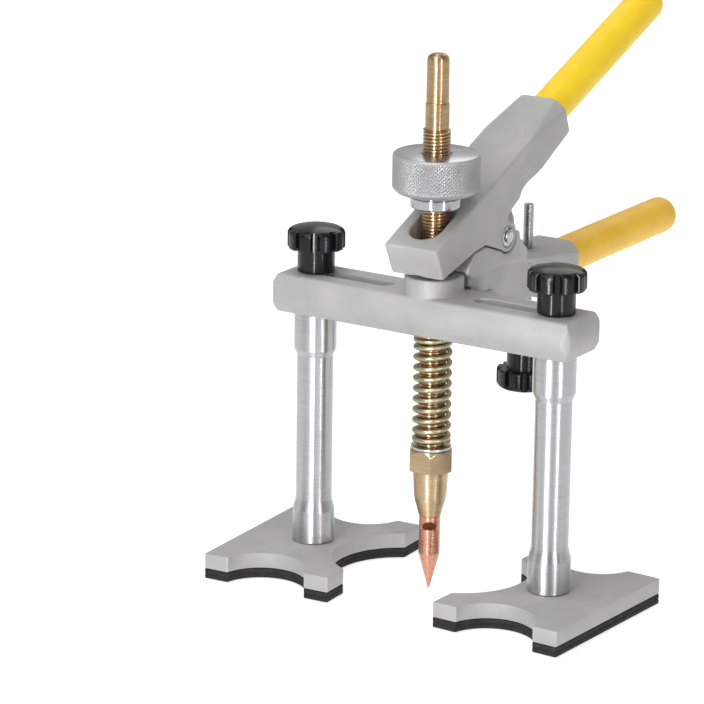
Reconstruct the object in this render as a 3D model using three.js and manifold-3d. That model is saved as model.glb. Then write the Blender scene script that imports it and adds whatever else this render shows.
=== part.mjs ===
// Lever-type pull bridge for spot-welded dent repair.
// Two rubber-soled feet carry a cross beam on turned columns. Squeezing the two handles tips the upper
// lever, which lifts the knurled height nut and with it the threaded pull rod, its chuck and copper tip,
// against a return spring.
//
// Millimetres, +Z up. X runs along the beam, +Y points back to the handles. The parts are laid out from
// the rod's axis, and the whole group is then moved so that the origin is under the middle of the object.

import * as THREE from 'three';
import { mergeVertices } from 'three/addons/utils/BufferGeometryUtils.js';
import Module from 'manifold-3d';

const wasm = await Module();
wasm.setup();

// ---------------------------------------------------------------- driving dimensions

const GAP = 0.3; // clearance between pieces that rest on each other
const ROUND = 32; // facets of a large turned piece
const SMALL_ROUND = 14; // facets of a screw or pin

// Feet
const PAD_THICK = 5.8;
const PLATE_BOTTOM = 6.1;
const PLATE_TOP = 15.4;
const FOOT_INNER = 42.5; // from the column's axis to the edge that faces the other foot
const FOOT_OUTER = 41.5;
const FOOT_FRONT = 57.4;
const FOOT_BACK = 56.5;
const FRONT_TOE = 16; // straight length beside the hollows of the front and back edges
const HEEL = 22;
const INNER_TOE = 19.6;
const FRONT_HOLLOW = 21.5; // depth of the circular hollows
const BACK_HOLLOW = 18;
const INNER_HOLLOW = 22.7;
const FOOT_TOE_IN = 2.8; // degrees that each foot is turned about its column

// Columns and their clamps
const COLUMN_X = 81.1; // half the distance between the columns
const COLUMN_R = 10.75;
const SLEEVE_R = 12.55;
const SLEEVE_LOW = 35.2; // top of the lower sleeve
const TAPER_LOW = 42;
const TAPER_HIGH = 131.3;
const SLEEVE_HIGH = 135.2; // bottom of the upper sleeve
const STUD_R = 4;
const STUD_TOP = 200;

// Star knobs
const KNOB_R = 17;
const KNOB_FLUTE_R = 14.7; // bottom of the flutes
const KNOB_LOBES = 9;
const KNOB_HUB_R = 11.1;
const KNOB_HUB = 14;
const KNOB_STAR = 12.3;
const KNOB_DOME = 1.6;

// Cross beam
const BEAM_HALF = 98.2;
const BEAM_BOTTOM = 158.5;
const BEAM_TOP = 182;
const BEAM_DEPTH = 17.8; // half depth at the top and bottom edges
const BEAM_BULGE = 2.6; // how far the faces swell at mid height
const BEAM_CORNER = 2.4;
const BEAM_END_R = 6;
const SLOT_IN = 28;
const SLOT_OUT = 90;
const SLOT_HALF = 5.4;
const BOSS_R = 17.4;
const BOSS_TOP = 192.8;
const PAD_FACE = 21; // flat behind the beam that the arm is bolted to
const PAD_HALF = 26;
const FLANGE_THICK = 6;
const FLANGE_HEIGHT = 19;
const ARM_SCREW_X = 19.5;
const ARM_SCREW_HEIGHTS = [165.3, 175.2];

// Pull rod, from the tip up
const TIP_POINT = 0.6;
const TIP_CONE = 22.5;
const CHUCK_END = 46.3;
const CHUCK_NECK = 58.3;
const HEX_BOTTOM = 74.3;
const HEX_TOP = 87.3;
const ROD_R = 8; // M16
const ROD_FOOT = 66;
const ROD_SHOULDER = 278.3;
const ROD_TOP = 322.6;
const BORE_R = 8.35; // running bore around the rod
const BUSH_R = 10;

// Return spring
const SPRING_R = 9.95; // middle of the wire
const WIRE_R = 1.55;
const SPRING_TURNS = 11;
const SPRING_TOP = 156.4;
const SPRING_FOOT = 89.6;

// Height nut and thrust collar
const COLLAR_BOTTOM = 232.5;
const COLLAR_TOP = 241.2;
const COLLAR_R = 14.9;
const NUT_BOTTOM = 241.5;
const NUT_TOP = 264.3;
const NUT_R = 25.4;

// Lever, arm and their pivot
const PIVOT_Y = 55;
const PIVOT_Z = 205.8;
const PIN_R = 4;
const LUG_R = 9.7;
const LEVER_HALF = 17.7; // half width of the lever and of the arm
const TONGUE_HALF = 9;
const CASTING_EDGE = 1.2; // rounding of the cast edges

// Handles
const LEVER_TILT = 21; // degrees that the upper handle rises at rest
const UPPER_SOCKET = [68, 57.5]; // middle of the lever's socket face, from the pivot
const LOWER_SOCKET = [87, -35.5]; // middle of the arm's socket face, from the pivot
const SOCKET_HALF = 14; // half height of a socket
const TUBE_R = 9;
const TUBE_BORE_R = 7.4;
const TUBE_IN = 22; // how far a tube goes into its socket
const TUBE_OUT = 136;
const GRIP_R = 11.5;
const GRIP_LENGTH = 143;

// Stop screw
const STOP_Y = 109;
const STOP_R = 3.1;
const STOP_TOP = 212.2;
const STOP_KNOB_TOP = 124; // where its hub ends, pointing up

// The origin is under the middle of the overall depth, which runs from the toes to the lower grip's end.
const ROD_SETBACK = 112.82;

const COLOURS = {
  cast: ['#b4b5b2', 0.5, 0.85],
  turned: ['#c9cbcc', 0.22, 1],
  knurled: ['#bcbcba', 0.38, 0.95],
  steel: ['#a8a9a8', 0.3, 1],
  zinc: ['#b5a768', 0.3, 1],
  brass: ['#a98552', 0.3, 1],
  copper: ['#c07a5a', 0.32, 1],
  bronze: ['#8f6b3f', 0.4, 1],
  knob: ['#121214', 0.18, 0],
  rubber: ['#17171a', 0.85, 0],
  grip: ['#f2c929', 0.42, 0],
};

// ---------------------------------------------------------------- from geometry to solid and back

// A geometry with positions only, its shared corners merged and its faces pointing out.
function closedGeometry(geometry) {
  const bare = new THREE.BufferGeometry();
  bare.setAttribute('position', geometry.getAttribute('position').clone());
  if (geometry.index) {
    bare.setIndex(geometry.index.clone());
  }
  const merged = mergeVertices(bare, 1e-4);
  const corners = merged.index.array;
  const at = merged.getAttribute('position');
  const [p, q, r] = [new THREE.Vector3(), new THREE.Vector3(), new THREE.Vector3()];
  const kept = [];
  let volume = 0;
  for (let i = 0; i < corners.length; i += 3) {
    const [a, b, c] = [corners[i], corners[i + 1], corners[i + 2]];
    if (a === b || b === c || c === a) {
      continue;
    }
    kept.push(a, b, c);
    p.fromBufferAttribute(at, a);
    q.fromBufferAttribute(at, b);
    r.fromBufferAttribute(at, c);
    volume += p.dot(q.cross(r));
  }
  merged.setIndex(volume < 0 ? kept.reverse() : kept);
  return merged;
}

function solid(geometry) {
  const closed = closedGeometry(geometry);
  const mesh = new wasm.Mesh({
    numProp: 3,
    vertProperties: new Float32Array(closed.getAttribute('position').array),
    triVerts: new Uint32Array(closed.index.array),
  });
  return new wasm.Manifold(mesh);
}

function geometryOf(manifold) {
  const mesh = manifold.getMesh();
  const geometry = new THREE.BufferGeometry();
  geometry.setAttribute('position', new THREE.BufferAttribute(new Float32Array(mesh.vertProperties), 3));
  geometry.setIndex(new THREE.BufferAttribute(new Uint32Array(mesh.triVerts), 1));
  return geometry;
}

function piece(name, body, look) {
  const closed = closedGeometry(body.isBufferGeometry ? body : geometryOf(body));
  closed.computeVertexNormals();
  const [color, roughness, metalness] = COLOURS[look];
  const mesh = new THREE.Mesh(closed, new THREE.MeshStandardMaterial({ color, roughness, metalness }));
  mesh.name = name;
  return mesh;
}

// ---------------------------------------------------------------- shape helpers

// Turns a profile of [radius, z] points about Z. It starts and ends on the axis, or closes on itself.
function turned(profile, facets = ROUND) {
  const points = profile.map(([radius, z]) => new THREE.Vector2(radius, z));
  return new THREE.LatheGeometry(points, facets).rotateX(Math.PI / 2);
}

function ring(inner, outer, bottom, top, facets = ROUND) {
  return turned([[inner, bottom], [outer, bottom], [outer, top], [inner, top], [inner, bottom]], facets);
}

function rod(radius, bottom, top, facets = SMALL_ROUND) {
  return turned([[0, bottom], [radius, bottom], [radius, top], [0, top]], facets);
}

// A rod along X or Y, from one coordinate to another, through the two given cross coordinates.
function rodAlongX(radius, from, to, y, z, facets = SMALL_ROUND) {
  return rod(radius, from, to, facets).rotateY(Math.PI / 2).translate(0, y, z);
}

function rodAlongY(radius, from, to, x, z, facets = SMALL_ROUND) {
  return rod(radius, from, to, facets).rotateX(-Math.PI / 2).translate(x, 0, z);
}

function extrude(points, depth, edge, edgeSteps = 1) {
  const settings = { depth: depth - 2 * edge, bevelEnabled: edge > 0 };
  if (edge > 0) {
    Object.assign(settings, { bevelThickness: edge, bevelSize: edge, bevelOffset: -edge });
    settings.bevelSegments = edgeSteps;
  }
  const shape = new THREE.Shape(points.map(([x, y]) => new THREE.Vector2(x, y)));
  return new THREE.ExtrudeGeometry(shape, settings).translate(0, 0, edge);
}

// A flat plate: an outline in X and Y, from one height to another.
function plate(outline, bottom, top, edge = 0) {
  return extrude(outline, top - bottom, edge).translate(0, 0, bottom);
}

// A bar: an outline in Y and Z, reaching the same distance to both sides along X.
function bar(outline, half, edge = 0) {
  const turn = new THREE.Matrix4().makeBasis(
    new THREE.Vector3(0, 1, 0),
    new THREE.Vector3(0, 0, 1),
    new THREE.Vector3(1, 0, 0),
  );
  return extrude(outline, 2 * half, edge, 2).translate(0, 0, -half).applyMatrix4(turn);
}

// Points on a circle about a centre, from one angle to another in degrees.
function arc(cx, cy, radius, from, to, steps) {
  const points = [];
  for (let i = 0; i <= steps; i += 1) {
    const angle = THREE.MathUtils.degToRad(from + ((to - from) * i) / steps);
    points.push([cx + radius * Math.cos(angle), cy + radius * Math.sin(angle)]);
  }
  return points;
}

// A circular hollow between two corners, its deepest point to the left of the way from one to the other.
function hollow([x0, y0], [x1, y1], depth, steps = 12) {
  const chord = Math.hypot(x1 - x0, y1 - y0);
  const radius = (chord * chord / 4 + depth * depth) / (2 * depth);
  const left = [-(y1 - y0) / chord, (x1 - x0) / chord];
  const back = radius - depth;
  const centre = [(x0 + x1) / 2 - left[0] * back, (y0 + y1) / 2 - left[1] * back];
  const start = THREE.MathUtils.radToDeg(Math.atan2(y0 - centre[1], x0 - centre[0]));
  const sweep = 2 * THREE.MathUtils.radToDeg(Math.asin(chord / 2 / radius));
  return arc(centre[0], centre[1], radius, start, start - sweep, steps);
}

function roundedBox(halfX, halfY, radius, steps = 5) {
  return [
    ...arc(halfX - radius, halfY - radius, radius, 0, 90, steps),
    ...arc(radius - halfX, halfY - radius, radius, 90, 180, steps),
    ...arc(radius - halfX, radius - halfY, radius, 180, 270, steps),
    ...arc(halfX - radius, radius - halfY, radius, 270, 360, steps),
  ];
}

function fromPivot(points) {
  return points.map(([y, z]) => [PIVOT_Y + y, PIVOT_Z + z]);
}

// ---------------------------------------------------------------- feet

// The outline of the right foot. The left foot is its mirror image.
function footOutline() {
  const front = -FOOT_FRONT;
  const inner = -FOOT_INNER;
  return [
    [FOOT_OUTER, front],
    [FOOT_OUTER, FOOT_BACK],
    ...hollow([FOOT_OUTER - HEEL, FOOT_BACK], [inner + FRONT_TOE, FOOT_BACK], BACK_HOLLOW),
    [inner, FOOT_BACK],
    ...hollow([inner, FOOT_BACK - INNER_TOE], [inner, front + INNER_TOE], INNER_HOLLOW),
    [inner, front],
    ...hollow([inner + FRONT_TOE, front], [FOOT_OUTER - FRONT_TOE, front], FRONT_HOLLOW),
  ];
}

function footPieces(side, label) {
  const outline = footOutline().map(([x, y]) => [side * x, y]);
  const countersink = turned([[0, 5], [8.4, 5], [8.4, 7.4], [4.4, 11.4], [4.4, 17], [0, 17]], SMALL_ROUND);
  const plateBody = solid(plate(outline, PLATE_BOTTOM, PLATE_TOP, 0.7)).subtract(solid(countersink));
  const padBody = solid(plate(outline, 0, PAD_THICK)).subtract(solid(rod(10, -1, 7, SMALL_ROUND)));
  return [
    piece(`foot_plate_${label}`, plateBody, 'cast'),
    piece(`foot_pad_${label}`, padBody, 'rubber'),
  ];
}

// ---------------------------------------------------------------- columns, studs and knobs

function column(label) {
  const bore = STUD_R + GAP;
  const body = turned([
    [0, TAPER_LOW],
    [bore, TAPER_LOW],
    [bore, PLATE_TOP + GAP],
    [SLEEVE_R, PLATE_TOP + GAP],
    [SLEEVE_R, SLEEVE_LOW],
    [COLUMN_R, TAPER_LOW],
    [COLUMN_R, TAPER_HIGH],
    [SLEEVE_R, SLEEVE_HIGH],
    [SLEEVE_R, BEAM_BOTTOM - GAP],
    [bore, BEAM_BOTTOM - GAP],
    [bore, SLEEVE_HIGH],
    [0, SLEEVE_HIGH],
  ]);
  return piece(`column_${label}`, body, 'turned');
}

function footScrew(label) {
  const socket = solid(plate(arc(0, 0, 2.9, 0, 300, 5), 5, 9));
  const body = solid(turned([
    [0, 6.4],
    [7.8, 6.4],
    [7.8, 7.3],
    [STUD_R, 11.2],
    [STUD_R, TAPER_LOW - 2],
    [0, TAPER_LOW - 2],
  ], SMALL_ROUND));
  return piece(`foot_screw_${label}`, body.subtract(socket), 'steel');
}

function clampStud(label) {
  return piece(`clamp_stud_${label}`, rod(STUD_R, SLEEVE_HIGH + GAP, STUD_TOP), 'steel');
}

// A star knob standing on its hub at height 0, with a blind hole for its stud.
function starKnob(holeR, holeDepth) {
  const pitch = 360 / KNOB_LOBES;
  const outline = [];
  for (let i = 0; i < KNOB_LOBES; i += 1) {
    const middle = i * pitch;
    outline.push(...arc(0, 0, KNOB_R, middle - pitch * 0.27, middle + pitch * 0.27, 2));
    outline.push(...arc(0, 0, KNOB_FLUTE_R, middle + pitch * 0.42, middle + pitch * 0.58, 1));
  }
  const starTop = KNOB_HUB + KNOB_STAR;
  const star = solid(plate(outline, KNOB_HUB, starTop, 0.8));
  const hub = solid(turned([[0, 0], [KNOB_HUB_R - 0.6, 0], [KNOB_HUB_R, 0.6], [KNOB_HUB_R, KNOB_HUB + 1],
    [0, KNOB_HUB + 1]]));
  const dome = solid(turned([[0, starTop - 1], [12.6, starTop - 1], [12.6, starTop + 0.3], [8, starTop + 1.1],
    [0, starTop + KNOB_DOME]]));
  return star.add(hub).add(dome).subtract(solid(rod(holeR, -1, holeDepth)));
}

function clampKnob(label) {
  const knob = piece(`clamp_knob_${label}`, starKnob(STUD_R + GAP, 19), 'knob');
  knob.position.z = BEAM_TOP + GAP;
  return knob;
}

function leg(side, label) {
  const group = new THREE.Group();
  group.position.x = side * COLUMN_X;
  const foot = new THREE.Group();
  foot.rotation.z = THREE.MathUtils.degToRad(-side * FOOT_TOE_IN);
  foot.add(...footPieces(side, label));
  group.add(foot, column(label), footScrew(label), clampStud(label), clampKnob(label));
  return group;
}

// ---------------------------------------------------------------- beam

// The beam's section seen along X or Y: upright faces that swell in the middle, and rounded corners.
function swollenSection(halfWidth) {
  const middle = (BEAM_TOP + BEAM_BOTTOM) / 2;
  const straight = (BEAM_TOP - BEAM_BOTTOM) / 2 - BEAM_CORNER;
  const face = [];
  for (let i = 1; i < 8; i += 1) {
    const z = straight * (i / 4 - 1);
    face.push([halfWidth + BEAM_BULGE * (1 - (z / straight) ** 2), z]);
  }
  const lower = arc(halfWidth - BEAM_CORNER, -straight, BEAM_CORNER, -90, 0, 3);
  const upper = arc(halfWidth - BEAM_CORNER, straight, BEAM_CORNER, 0, 90, 3);
  const right = [...lower, ...face, ...upper];
  const left = right.map(([y, z]) => [-y, z]).reverse();
  return [...right, ...left].map(([y, z]) => [y, z + middle]);
}

function crossBeam() {
  const depth = BEAM_DEPTH + BEAM_BULGE;
  const length = BEAM_HALF + BEAM_BULGE;
  const plan = solid(plate(roundedBox(length, depth, BEAM_END_R), 150, 190));
  const along = solid(bar(swollenSection(BEAM_DEPTH), length + 1));
  const across = solid(bar(swollenSection(BEAM_HALF), depth + 1).rotateZ(Math.PI / 2));
  let body = along.intersect(across).intersect(plan);
  body = body.add(solid(turned([[0, BEAM_TOP - 2], [BOSS_R, BEAM_TOP - 2], [BOSS_R, BOSS_TOP - 0.8],
    [BOSS_R - 0.8, BOSS_TOP], [0, BOSS_TOP]])));
  const pad = new THREE.BoxGeometry(2 * PAD_HALF, 8, FLANGE_HEIGHT);
  body = body.add(solid(pad.translate(0, PAD_FACE - 4, (BEAM_TOP + BEAM_BOTTOM) / 2)));
  for (const side of [-1, 1]) {
    const slot = [
      ...arc(side * (SLOT_OUT - SLOT_HALF), 0, SLOT_HALF, side > 0 ? -90 : 90, side > 0 ? 90 : 270, 8),
      ...arc(side * (SLOT_IN + SLOT_HALF), 0, SLOT_HALF, side > 0 ? 90 : -90, side > 0 ? 270 : 90, 8),
    ];
    body = body.subtract(solid(plate(slot, 150, 190)));
    for (const height of ARM_SCREW_HEIGHTS) {
      body = body.subtract(solid(rodAlongY(2.8, 4, 30, side * ARM_SCREW_X, height)));
    }
  }
  return piece('cross_beam', body.subtract(solid(rod(BUSH_R + 0.1, 150, 200, ROUND))), 'cast');
}

function armScrew(side, height, label) {
  const seat = PAD_FACE + GAP + FLANGE_THICK + GAP;
  const shank = solid(rodAlongY(2.5, 5, seat + 1, 0, 0));
  const head = solid(rodAlongY(4.2, seat, seat + 4.8, 0, 0));
  const socket = plate(arc(0, 0, 2.2, 0, 300, 5), seat + 2.4, seat + 6).rotateX(-Math.PI / 2);
  const screw = piece(`arm_screw_${label}`, shank.add(head).subtract(solid(socket)), 'steel');
  screw.position.set(side * ARM_SCREW_X, 0, height);
  return screw;
}

function rodBush() {
  const flangeTop = BEAM_BOTTOM - GAP;
  const flangeBottom = SPRING_TOP + GAP;
  const body = turned([
    [BORE_R, flangeBottom],
    [13, flangeBottom],
    [13, flangeTop],
    [BUSH_R - 0.1, flangeTop],
    [BUSH_R - 0.1, BOSS_TOP - 0.5],
    [BORE_R, BOSS_TOP - 0.5],
    [BORE_R, flangeBottom],
  ]);
  return piece('rod_bush', body, 'bronze');
}

// ---------------------------------------------------------------- lever, arm and pivot

// Moves a geometry made about a handle's own axis, with the socket's face at height 0, into place.
function alongHandle(geometry, [y, z], tilt) {
  geometry.rotateX(THREE.MathUtils.degToRad(tilt - 90));
  return geometry.translate(0, PIVOT_Y + y, PIVOT_Z + z);
}

// The four tapering chamfers that turn a square socket into an eight-sided one.
function socketChamfers(place, tilt, length) {
  const chamfer = 6.5;
  const size = 14;
  const lean = Math.atan2(chamfer / Math.SQRT2, length);
  const cuts = [];
  for (const sx of [-1, 1]) {
    for (const sy of [-1, 1]) {
      const across = new THREE.Vector3(sx, sy, 0).normalize();
      const hinge = new THREE.Vector3(0, 0, 1).cross(across);
      const block = new THREE.BoxGeometry(size, size, length + 20).rotateZ(Math.PI / 4);
      block.translate(0, 0, -length / 2 - 8);
      block.applyMatrix4(new THREE.Matrix4().makeRotationAxis(hinge, -lean));
      const out = size / 2 - chamfer / Math.SQRT2;
      block.translate(sx * LEVER_HALF + across.x * out, sy * SOCKET_HALF + across.y * out, 0);
      cuts.push(solid(alongHandle(block, place, tilt)));
    }
  }
  return cuts;
}

// The bore for a handle's tube and the tapped hole for its grub screw, seen from the socket's face.
function socketHoles(place, tilt) {
  const bore = rod(TUBE_R + 0.15, -TUBE_IN - 1, 5, ROUND);
  const tapped = rodAlongY(3.1, 0, 30, 0, -TUBE_IN / 2);
  return [solid(alongHandle(bore, place, tilt)), solid(alongHandle(tapped, place, tilt))];
}

function cutAll(body, cuts) {
  return cuts.reduce((left, cut) => left.subtract(cut), body);
}

function leverOutline() {
  const [sy, sz] = UPPER_SOCKET;
  const tilt = THREE.MathUtils.degToRad(LEVER_TILT);
  const across = [-Math.sin(tilt) * SOCKET_HALF, Math.cos(tilt) * SOCKET_HALF];
  return fromPivot([
    [-83.1, 8.1],
    [-73.9, -10.9],
    [-37.7, -1.6],
    [-25.5, -0.3],
    ...arc(0, 0, LUG_R, 228, 405, 14),
    [8.3, 10.2],
    [12, 18.5],
    [15, 24],
    [21, 27.6],
    [30, 30],
    [sy - across[0], sz - across[1]],
    [sy + across[0], sz + across[1]],
    [39.6, 60.4],
    [12.4, 48.9],
  ]);
}

function lever() {
  const slot = [
    ...arc(0, 3, 10, 0, 180, 12),
    ...arc(0, -9, 10, 180, 360, 12),
  ];
  const cuts = [
    solid(plate(slot, 180, 250)),
    solid(rodAlongX(LUG_R + 0.8, -TONGUE_HALF - 0.4, TONGUE_HALF + 0.4, PIVOT_Y, PIVOT_Z, ROUND)),
    solid(rodAlongX(PIN_R + 0.1, -30, 30, PIVOT_Y, PIVOT_Z)),
    solid(rodAlongX(6.9, LEVER_HALF - 2.2, LEVER_HALF + 5, PIVOT_Y, PIVOT_Z)),
    solid(rodAlongX(6.9, -LEVER_HALF - 5, -LEVER_HALF + 2.2, PIVOT_Y, PIVOT_Z)),
    ...socketChamfers(UPPER_SOCKET, LEVER_TILT, 62),
    ...socketHoles(UPPER_SOCKET, LEVER_TILT),
  ];
  return piece('lever', cutAll(solid(bar(leverOutline(), LEVER_HALF, CASTING_EDGE)), cuts), 'cast');
}

// The arm's outer outline wraps around the lever's lug, half a millimetre away from it.
function armOutline() {
  const [sy, sz] = LOWER_SOCKET;
  return fromPivot([
    [-37.7, -2.2],
    [-25.5, -0.9],
    ...arc(0, 0, LUG_R + 0.5, 228, 368, 12),
    [13.4, 0.9],
    [14.6, -4],
    [20, -9.4],
    [26.5, -14],
    [34, -18],
    [45, -20.6],
    [sy, sz + SOCKET_HALF],
    [sy, sz - SOCKET_HALF],
    [48, sz - SOCKET_HALF],
    [40.5, -34],
    [31.9, -23.5],
    [19.3, -19.6],
    [5, -17.2],
    [-10, -15.9],
    [-24, -16.2],
    [-40, -17.4],
    [-46.7, -13.2],
    [-45.3, -9.5],
  ]);
}

function webOutline() {
  const back = PAD_FACE + GAP;
  return [
    [back, 161],
    [30, 160.5],
    [96, 159],
    [104, 170],
    [92, 186],
    [70, 191.5],
    [back - 3.2, 192],
    [back - 3.2, BEAM_TOP + GAP],
    [back, BEAM_TOP + GAP],
  ];
}

function rearArm() {
  const back = PAD_FACE + GAP;
  const flange = new THREE.BoxGeometry(2 * PAD_HALF, FLANGE_THICK, FLANGE_HEIGHT);
  flange.translate(0, back + FLANGE_THICK / 2, (BEAM_TOP + BEAM_BOTTOM) / 2);
  const tongue = fromPivot([...arc(0, 0, LUG_R, 9, 228, 18), ...arc(0, 0, LUG_R + 1.2, 230, 366, 10)]);
  let body = solid(bar(armOutline(), LEVER_HALF, CASTING_EDGE));
  body = body.add(solid(bar(webOutline(), 12.5, 0)));
  body = body.add(solid(bar(tongue, TONGUE_HALF, 0)));
  body = body.add(solid(flange));
  const cuts = [
    solid(rod(BOSS_R + 0.5, 170, BOSS_TOP + 0.5, ROUND)),
    solid(rod(10.5, 185, 230, ROUND)),
    solid(rodAlongX(PIN_R + 1.7, -30, 30, PIVOT_Y, PIVOT_Z)),
    solid(rod(STOP_R + 0.2, 140, 220).translate(0, STOP_Y, 0)),
    ...socketChamfers(LOWER_SOCKET, 0, 46),
    ...socketHoles(LOWER_SOCKET, 0),
  ];
  for (const side of [-1, 1]) {
    for (const height of ARM_SCREW_HEIGHTS) {
      cuts.push(solid(rodAlongY(2.8, 10, 30, side * ARM_SCREW_X, height)));
      cuts.push(solid(rodAlongY(4.8, back + FLANGE_THICK, 46, side * ARM_SCREW_X, height)));
    }
  }
  return piece('rear_arm', cutAll(body, cuts), 'cast');
}

function pivotPin() {
  const body = turned([
    [0, -18.4],
    [5.2, -18.4],
    [6.2, -17.6],
    [6.2, -15.8],
    [PIN_R, -15.8],
    [PIN_R, 15.9],
    [3, 15.9],
    [3, 17.2],
    [PIN_R, 17.2],
    [PIN_R, 18.3],
    [3.3, 19],
    [0, 19],
  ], SMALL_ROUND);
  return piece('pivot_pin', body.rotateY(Math.PI / 2).translate(0, PIVOT_Y, PIVOT_Z), 'steel');
}

// A spring clip in the pin's groove: an open ring whose gap faces up and back.
function pivotClip() {
  const outline = [...arc(0, 0, 6.1, 95, 400, 16), ...arc(0, 0, 3.2, 400, 95, 14)];
  const body = extrude(outline, 0.9, 0).rotateZ(Math.PI / 2).rotateY(Math.PI / 2);
  return piece('pivot_clip', body.translate(16.1, PIVOT_Y, PIVOT_Z), 'steel');
}

function pivotBush() {
  const body = ring(PIN_R + 0.1, PIN_R + 1.6, -TONGUE_HALF + 0.2, TONGUE_HALF - 0.2, SMALL_ROUND);
  return piece('pivot_bush', body.rotateY(Math.PI / 2).translate(0, PIVOT_Y, PIVOT_Z), 'bronze');
}

// ---------------------------------------------------------------- handles

function handlePieces(label, place, tilt) {
  const tube = solid(ring(TUBE_BORE_R, TUBE_R, -TUBE_IN, TUBE_OUT));
  const grip = turned([
    [0, TUBE_OUT + 1],
    [TUBE_R + 0.2, TUBE_OUT + 1],
    [TUBE_R + 0.2, 0.6],
    [GRIP_R - 0.8, 0.6],
    [GRIP_R, 1.4],
    [GRIP_R, GRIP_LENGTH - 8],
    ...arc(GRIP_R - 8, GRIP_LENGTH - 8, 8, 15, 90, 5),
    [0, GRIP_LENGTH],
  ]);
  const screw = rodAlongY(2.8, TUBE_R + GAP, SOCKET_HALF - 0.6, 0, -TUBE_IN / 2);
  return [
    piece(`${label}_handle_tube`, alongHandle(geometryOf(tube), place, tilt), 'steel'),
    piece(`${label}_grip`, alongHandle(grip, place, tilt), 'grip'),
    piece(`${label}_grub_screw`, alongHandle(screw, place, tilt), 'steel'),
  ];
}

// ---------------------------------------------------------------- pull rod, chuck, tip, spring and nut

function pullRod() {
  const body = turned([
    [0, ROD_FOOT],
    [ROD_R - 1, ROD_FOOT],
    [ROD_R, ROD_FOOT + 1],
    [ROD_R, ROD_SHOULDER - 0.8],
    [ROD_R - 0.8, ROD_SHOULDER],
    [6.9, ROD_SHOULDER],
    [6.9, ROD_TOP - 2.6],
    [6, ROD_TOP - 1.2],
    [3.8, ROD_TOP - 0.3],
    [0, ROD_TOP],
  ]);
  return piece('pull_rod', body, 'brass');
}

function chuck() {
  const across = 14.15;
  const hex = solid(plate(arc(0, 0, across, 0, 300, 5), HEX_BOTTOM, HEX_TOP));
  const crown = solid(turned([[0, HEX_BOTTOM - 1], [across + 1, HEX_BOTTOM - 1], [across + 1, HEX_TOP - 3],
    [across - 2.4, HEX_TOP], [0, HEX_TOP]]));
  const barrel = solid(turned([
    [0, CHUCK_END],
    [6.6, CHUCK_END],
    [7.6, CHUCK_END + 4],
    [8.9, CHUCK_END + 8.6],
    [9.65, CHUCK_NECK],
    [10.4, HEX_BOTTOM + 1],
    [0, HEX_BOTTOM + 1],
  ]));
  const rodBore = solid(rod(ROD_R + 0.2, ROD_FOOT - 1, HEX_TOP + 1, ROUND));
  const tipBore = solid(rod(4.2, CHUCK_END - 1, 61));
  return piece('chuck', hex.intersect(crown).add(barrel).subtract(rodBore).subtract(tipBore), 'brass');
}

function copperTip() {
  const body = solid(turned([
    [0, TIP_POINT],
    [0.5, TIP_POINT + 0.3],
    [6.25, TIP_CONE],
    [6.25, CHUCK_END - GAP],
    [4, CHUCK_END - GAP],
    [4, 60],
    [0, 60],
  ]));
  const flats = [-1, 1].map((side) => {
    const block = new THREE.BoxGeometry(20, 4, 5).translate(0, side * 6.6, 40.6);
    return solid(block.rotateZ(THREE.MathUtils.degToRad(30)));
  });
  return piece('copper_tip', cutAll(body, flats), 'copper');
}

function springWasher() {
  return piece('spring_washer', ring(BORE_R, 11.9, HEX_TOP + GAP, SPRING_FOOT - GAP), 'steel');
}

// A compression spring's centre line, with closed end coils.
class SpringCurve extends THREE.Curve {
  constructor() {
    super();
    this.arcLengthDivisions = 1200;
  }

  getPoint(t) {
    const angle = 2 * Math.PI * SPRING_TURNS * t;
    const low = SPRING_FOOT + WIRE_R;
    const high = SPRING_TOP - WIRE_R;
    const closed = 1 / SPRING_TURNS;
    const endRise = 2 * WIRE_R + 0.2;
    const rise = high - low - 2 * endRise;
    let z = low + endRise + (rise * (t - closed)) / (1 - 2 * closed);
    if (t < closed) {
      z = low + (endRise * t) / closed;
    } else if (t > 1 - closed) {
      z = high - (endRise * (1 - t)) / closed;
    }
    return new THREE.Vector3(SPRING_R * Math.cos(angle), SPRING_R * Math.sin(angle), z);
  }
}

function returnSpring() {
  const section = new THREE.Shape(arc(0, 0, WIRE_R, 0, 300, 5).map(([x, y]) => new THREE.Vector2(x, y)));
  const settings = { steps: 12 * SPRING_TURNS, extrudePath: new SpringCurve(), bevelEnabled: false };
  return piece('return_spring', new THREE.ExtrudeGeometry(section, settings), 'zinc');
}

function thrustCollar() {
  const body = turned([
    [BORE_R, COLLAR_BOTTOM],
    [COLLAR_R - 0.8, COLLAR_BOTTOM],
    [COLLAR_R, COLLAR_BOTTOM + 0.8],
    [COLLAR_R, COLLAR_TOP],
    [BORE_R, COLLAR_TOP],
    [BORE_R, COLLAR_BOTTOM],
  ]);
  return piece('thrust_collar', body, 'turned');
}

function heightNut() {
  const body = turned([
    [BORE_R, NUT_BOTTOM],
    [NUT_R - 3, NUT_BOTTOM],
    [NUT_R, NUT_BOTTOM + 2.6],
    [NUT_R, NUT_TOP - 1],
    [NUT_R - 1, NUT_TOP],
    [BORE_R, NUT_TOP],
    [BORE_R, NUT_BOTTOM],
  ], 40);
  return piece('height_nut', body, 'knurled');
}

// ---------------------------------------------------------------- stop screw

function stopPieces() {
  const stud = rod(STOP_R, STOP_KNOB_TOP - 19, STOP_TOP).translate(0, STOP_Y, 0);
  const knob = piece('stop_knob', starKnob(STOP_R + GAP, 19.6), 'knob');
  knob.rotation.x = Math.PI;
  knob.position.set(0, STOP_Y, STOP_KNOB_TOP);
  return [piece('stop_stud', stud, 'steel'), knob];
}

// ---------------------------------------------------------------- assembly

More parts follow.
